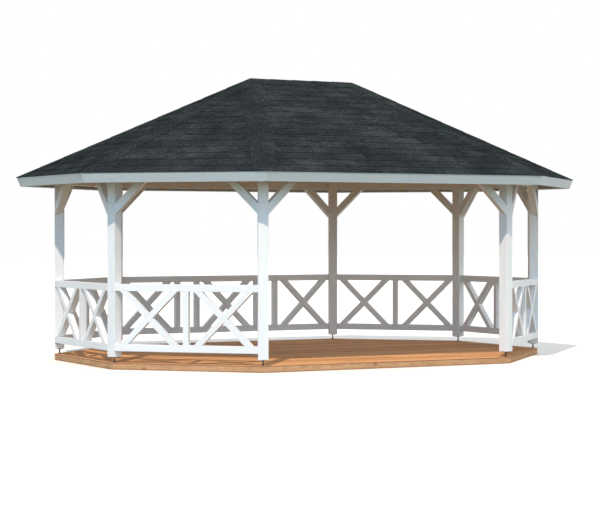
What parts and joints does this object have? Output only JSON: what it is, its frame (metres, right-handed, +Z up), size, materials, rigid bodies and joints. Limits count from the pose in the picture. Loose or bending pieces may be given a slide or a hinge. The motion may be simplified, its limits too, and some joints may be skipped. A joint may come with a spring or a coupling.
{
  "type": "garden gazebo",
  "caption": "Open timber garden gazebo on an elongated octagonal plan, with a hipped shingle roof, knee-braced posts, crossed railings, an open front and a low boarded deck.",
  "frame": {"origin": "middle of the underside of the deck, on the ground", "axes": "+Z up, +X along the ridge and the long sides, the open front faces -Y"},
  "size_m": [6.9762, 5.4762, 3.5861],
  "materials": {
    "painted_timber": "planed softwood under white opaque stain, satin",
    "fascia_paint": "planed softwood under pale blue-grey white stain, satin",
    "deck_timber": "oiled softwood boards, warm orange-brown, matt",
    "roof_timber": "natural planed softwood, matt",
    "roof_shingles": "charcoal mineral-faced bitumen shingles over softwood boards, matt",
    "anchor_steel": "black coated steel, satin"
  },
  "bodies": {
    "root": {"deck_boards": "deck_timber", "deck_joists": "deck_timber", "deck_straight_edge_boards": "deck_timber", "deck_diagonal_edge_boards": "deck_timber", "post_anchors": "anchor_steel", "front_left_post": "painted_timber", "front_right_post": "painted_timber", "right_front_post": "painted_timber", "right_back_post": "painted_timber", "back_right_post": "painted_timber", "back_left_post": "painted_timber", "left_back_post": "painted_timber", "left_front_post": "painted_timber", "front_beam": "painted_timber", "front_right_beam": "painted_timber", "right_beam": "painted_timber", "back_right_beam": "painted_timber", "back_beam": "painted_timber", "back_left_beam": "painted_timber", "left_beam": "painted_timber", "front_left_beam": "painted_timber", "long_side_braces": "painted_timber", "end_braces": "painted_timber", "diagonal_braces": "painted_timber", "front_right_railing": "painted_timber", "right_railing": "painted_timber", "back_right_railing": "painted_timber", "back_railing": "painted_timber", "back_left_railing": "painted_timber", "left_railing": "painted_timber", "front_left_railing": "painted_timber", "rafters": "roof_timber", "hip_rafters": "roof_timber", "ridge_beam": "roof_timber", "ridge_bosses": "roof_timber", "front_roof": "roof_shingles", "front_right_roof": "roof_shingles", "right_roof": "roof_shingles", "back_right_roof": "roof_shingles", "back_roof": "roof_shingles", "back_left_roof": "roof_shingles", "left_roof": "roof_shingles", "front_left_roof": "roof_shingles", "straight_fascias": "fascia_paint", "diagonal_fascias": "fascia_paint"}
  },
  "joints": []
}
